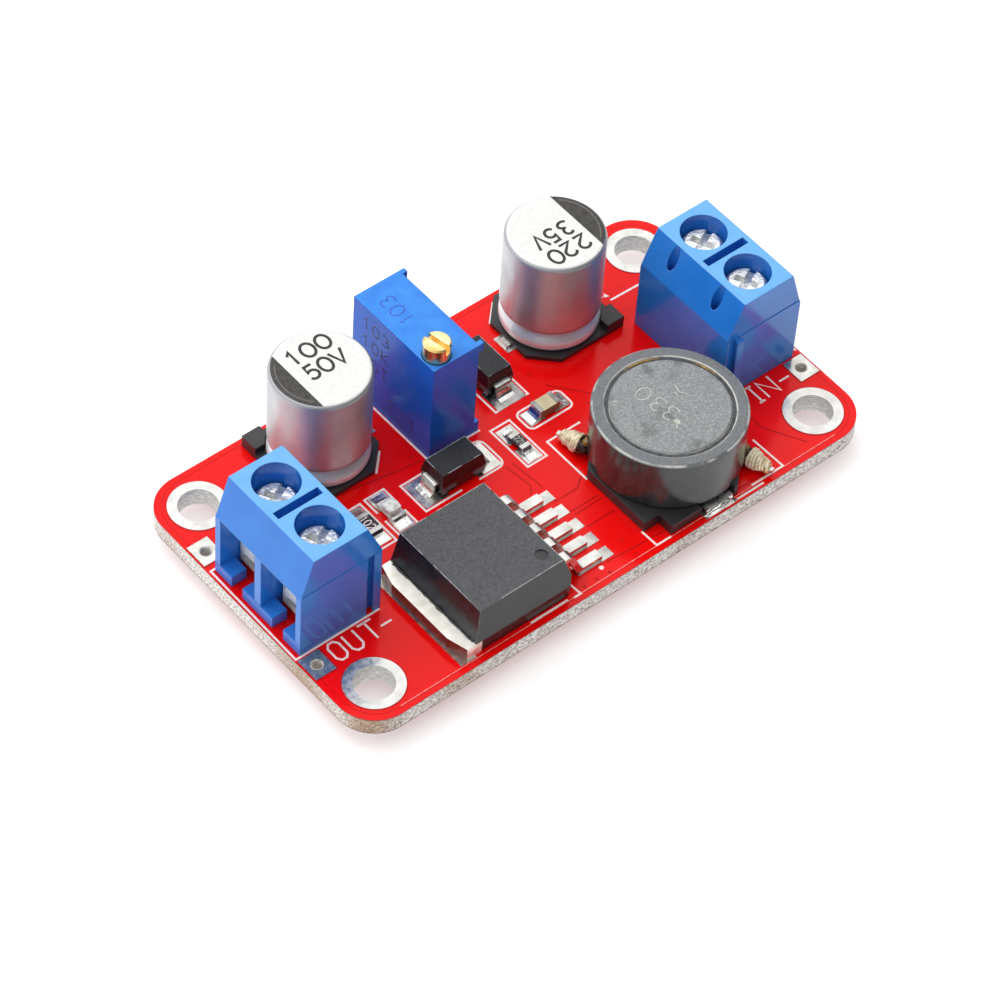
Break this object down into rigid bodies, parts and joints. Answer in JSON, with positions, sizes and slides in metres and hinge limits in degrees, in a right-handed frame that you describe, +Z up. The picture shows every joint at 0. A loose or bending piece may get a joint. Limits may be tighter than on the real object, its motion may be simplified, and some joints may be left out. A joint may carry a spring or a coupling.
{
  "type": "boost converter module",
  "caption": "Step-up voltage converter board with screw terminal blocks at both ends, a screw-adjusted trimmer, a shielded coil, upright can capacitors and corner mounting holes.",
  "frame": {"origin": "middle of the board in plan, at the height of the tips of the soldered pins", "axes": "+X along the board from the output end to the input end, +Y across it towards the positive poles and the trimmer, +Z up from the board"},
  "size_m": [0.05, 0.0278, 0.0146],
  "materials": {
    "board_red": "red solder mask over glass fibre",
    "tin": "bright tin",
    "solder": "bright solder",
    "block_blue": "satin moulding",
    "screw_steel": "zinc plated",
    "cage_steel": "plated",
    "contact_tin": "tinned",
    "trimmer_blue": "satin moulding",
    "screw_brass": "turned",
    "seal_rubber": "smooth",
    "carriage_plastic": "moulded",
    "wiper_brass": "spring sheet",
    "ceramic_white": "fired ceramic",
    "base_black": "moulded",
    "ferrite": "ground ferrite",
    "winding_copper": "enamelled wire",
    "can_aluminium": "satin",
    "package_black": "moulded",
    "lens_clear": "clear resin",
    "resistor_black": "glazed",
    "ceramic_tan": "fired ceramic"
  },
  "bodies": {
    "module": {"circuit_board": "board_red", "board_eyelets": "tin", "solder_lands": "tin", "solder_fillets": "solder", "solder_joints": "solder", "output_housing": "block_blue", "output_positive_contact": "contact_tin", "output_negative_contact": "contact_tin", "input_housing": "block_blue", "input_positive_contact": "contact_tin", "input_negative_contact": "contact_tin", "trimmer_housing": "trimmer_blue", "trimmer_cover": "trimmer_blue", "trimmer_element": "ceramic_white", "trimmer_pins": "tin", "inductor_base": "base_black", "inductor_terminals": "tin", "inductor_shield": "ferrite", "inductor_core": "ferrite", "inductor_winding": "winding_copper", "output_capacitor_can": "can_aluminium", "output_capacitor_base": "base_black", "output_capacitor_leads": "tin", "input_capacitor_can": "can_aluminium", "input_capacitor_base": "base_black", "input_capacitor_leads": "tin", "regulator_body": "package_black", "regulator_tab": "tin", "regulator_leads": "tin", "output_diode_body": "package_black", "output_diode_leads": "tin", "input_diode_body": "package_black", "input_diode_leads": "tin", "led_body": "ceramic_white", "led_terminals": "tin", "led_lens": "lens_clear", "led_resistor_body": "resistor_black", "led_resistor_terminals": "tin", "feedback_resistor_body": "resistor_black", "feedback_resistor_terminals": "tin", "ceramic_body": "ceramic_tan", "ceramic_terminals": "tin"},
    "output_positive_screw": {"output_positive_screw": "screw_steel"},
    "output_positive_cage": {"output_positive_cage": "cage_steel"},
    "output_negative_screw": {"output_negative_screw": "screw_steel"},
    "output_negative_cage": {"output_negative_cage": "cage_steel"},
    "input_positive_screw": {"input_positive_screw": "screw_steel"},
    "input_positive_cage": {"input_positive_cage": "cage_steel"},
    "input_negative_screw": {"input_negative_screw": "screw_steel"},
    "input_negative_cage": {"input_negative_cage": "cage_steel"},
    "trimmer_screw": {"trimmer_screw": "screw_brass", "trimmer_seal": "seal_rubber"},
    "trimmer_carriage": {"trimmer_carriage": "carriage_plastic", "trimmer_wiper": "wiper_brass"}
  },
  "joints": [
    {"name": "output_positive_cage_rise", "type": "slide", "parent": "module", "child": "output_positive_cage", "axis": [0, 0, 1], "range_m": [-0.00065, 0.00075]},
    {"name": "output_positive_screw_turn", "type": "hinge", "parent": "module", "child": "output_positive_screw", "pos_m": [-0.02077, 0.00234, 0.0098], "axis": [0, 0, -1], "range_deg": [-521, 601]},
    {"name": "output_negative_cage_rise", "type": "slide", "parent": "module", "child": "output_negative_cage", "axis": [0, 0, 1], "range_m": [-0.00065, 0.00075]},
    {"name": "output_negative_screw_turn", "type": "hinge", "parent": "module", "child": "output_negative_screw", "pos_m": [-0.02077, -0.00274, 0.0098], "axis": [0, 0, -1], "range_deg": [-521, 601]},
    {"name": "input_positive_cage_rise", "type": "slide", "parent": "module", "child": "input_positive_cage", "axis": [0, 0, 1], "range_m": [-0.00065, 0.00075]},
    {"name": "input_positive_screw_turn", "type": "hinge", "parent": "module", "child": "input_positive_screw", "pos_m": [0.0205, 0.00219, 0.0098], "axis": [0, 0, -1], "range_deg": [-521, 601]},
    {"name": "input_negative_cage_rise", "type": "slide", "parent": "module", "child": "input_negative_cage", "axis": [0, 0, 1], "range_m": [-0.00065, 0.00075]},
    {"name": "input_negative_screw_turn", "type": "hinge", "parent": "module", "child": "input_negative_screw", "pos_m": [0.0205, -0.00289, 0.0098], "axis": [0, 0, -1], "range_deg": [-521, 601]},
    {"name": "trimmer_carriage_slide", "type": "slide", "parent": "module", "child": "trimmer_carriage", "axis": [0, 0, 1], "range_m": [-0.003, 0.003]},
    {"name": "trimmer_screw_turn", "type": "hinge", "parent": "module", "child": "trimmer_screw", "pos_m": [-0.00369, 0.0049, 0.0131], "axis": [0, 0, -1], "range_deg": [-4505, 4505]}
  ],
  "couplings": [
    {"joint": "output_positive_screw_turn", "follows": "output_positive_cage_rise", "rad_per_m": 13963},
    {"joint": "output_negative_screw_turn", "follows": "output_negative_cage_rise", "rad_per_m": 13963},
    {"joint": "input_positive_screw_turn", "follows": "input_positive_cage_rise", "rad_per_m": 13963},
    {"joint": "input_negative_screw_turn", "follows": "input_negative_cage_rise", "rad_per_m": 13963},
    {"joint": "trimmer_screw_turn", "follows": "trimmer_carriage_slide", "rad_per_m": 26180}
  ]
}
